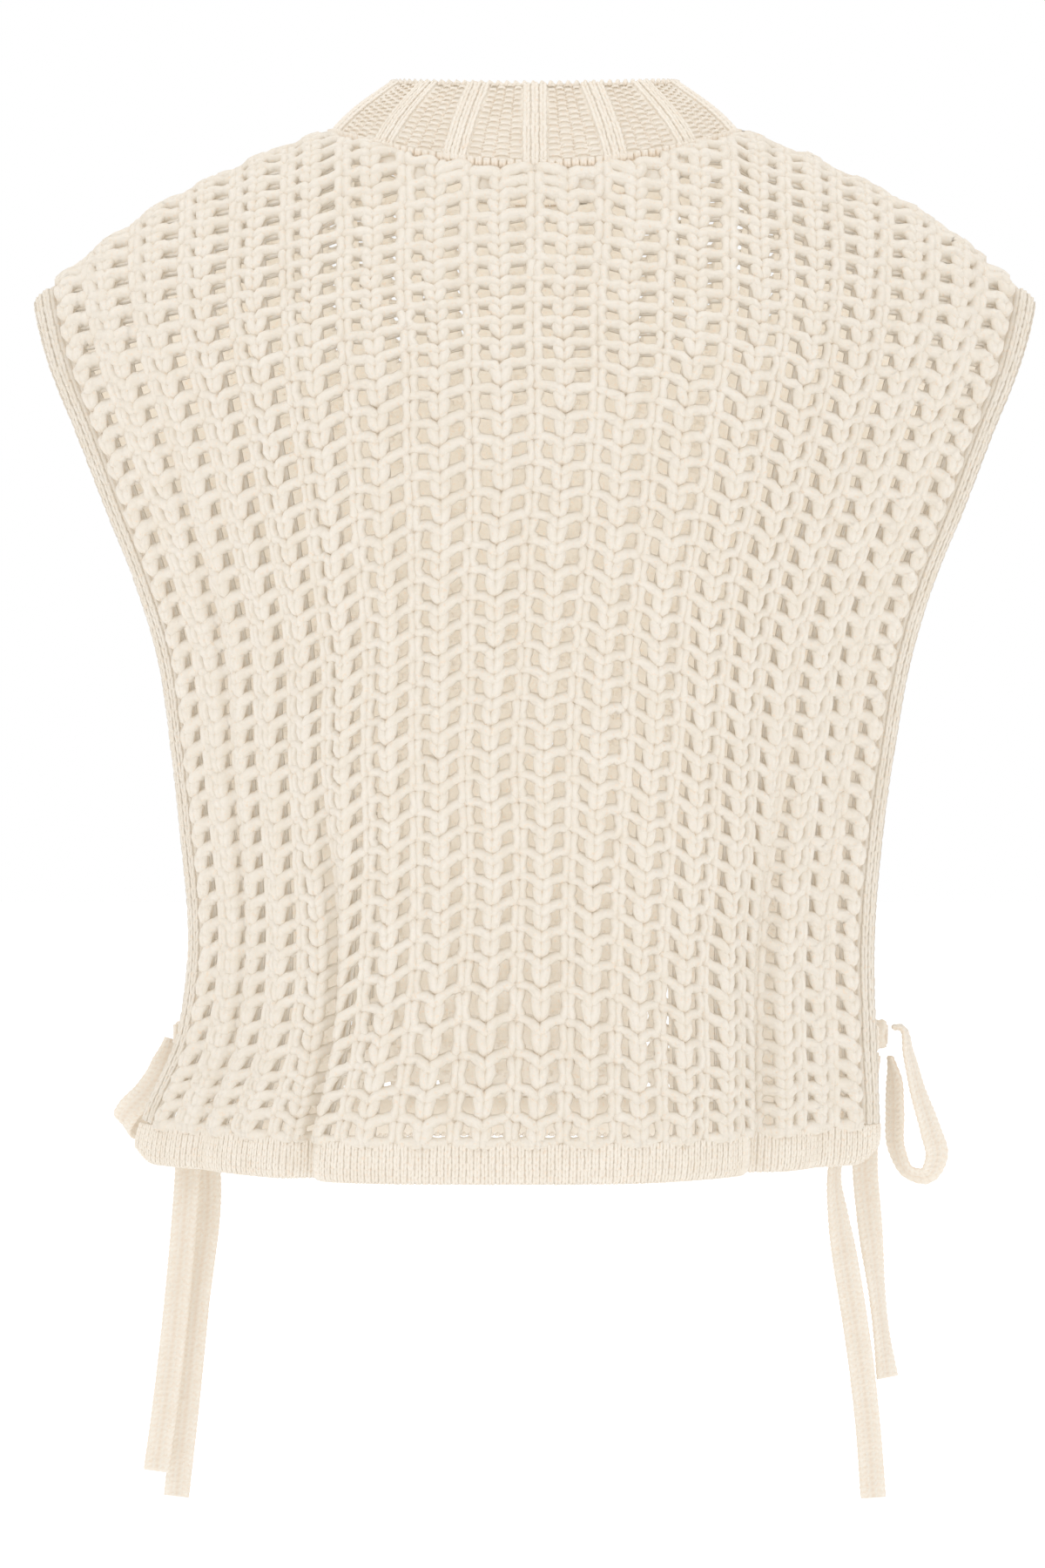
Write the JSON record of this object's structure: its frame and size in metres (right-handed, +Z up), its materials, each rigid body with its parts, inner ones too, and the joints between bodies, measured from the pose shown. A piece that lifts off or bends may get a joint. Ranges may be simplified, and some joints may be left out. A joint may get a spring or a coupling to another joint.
{
  "type": "sweater vest",
  "caption": "Openwork knitted sweater vest in its worn hollow form, with a ribbed collar, open sides and a tied bow at each side above the hem.",
  "frame": {"origin": "midpoint between the two shoulder-neck points, where the wearer's shoulders carry the vest", "axes": "+Z up, -Y towards the back of the garment, +Y towards its front, +X towards the wearer's right"},
  "size_m": [0.4946, 0.2862, 0.6995],
  "materials": {
    "chunky_wool": "soft brushed chunky cream wool, openwork knit, matte with a fine halo of fibres",
    "fine_wool": "finer-gauge cream wool, ribbed and plain knit, matte",
    "tie_wool": "fine plain-knit cream wool strap, matte"
  },
  "bodies": {
    "root": {"back_panel": "chunky_wool", "front_panel": "chunky_wool", "edge_band_left": "chunky_wool", "edge_band_right": "chunky_wool", "hem_back": "fine_wool", "hem_front": "fine_wool", "neckband": "fine_wool", "tie_left_knot": "tie_wool", "tie_left_stem_back": "tie_wool", "tie_left_stem_front": "tie_wool", "tie_left_loop_outer": "tie_wool", "tie_left_loop_inner": "tie_wool", "tie_left_end_long": "tie_wool", "tie_left_end_short": "tie_wool", "tie_right_knot": "tie_wool", "tie_right_stem_back": "tie_wool", "tie_right_stem_front": "tie_wool", "tie_right_loop_outer": "tie_wool", "tie_right_loop_inner": "tie_wool", "tie_right_end_long": "tie_wool", "tie_right_end_short": "tie_wool"}
  },
  "joints": []
}
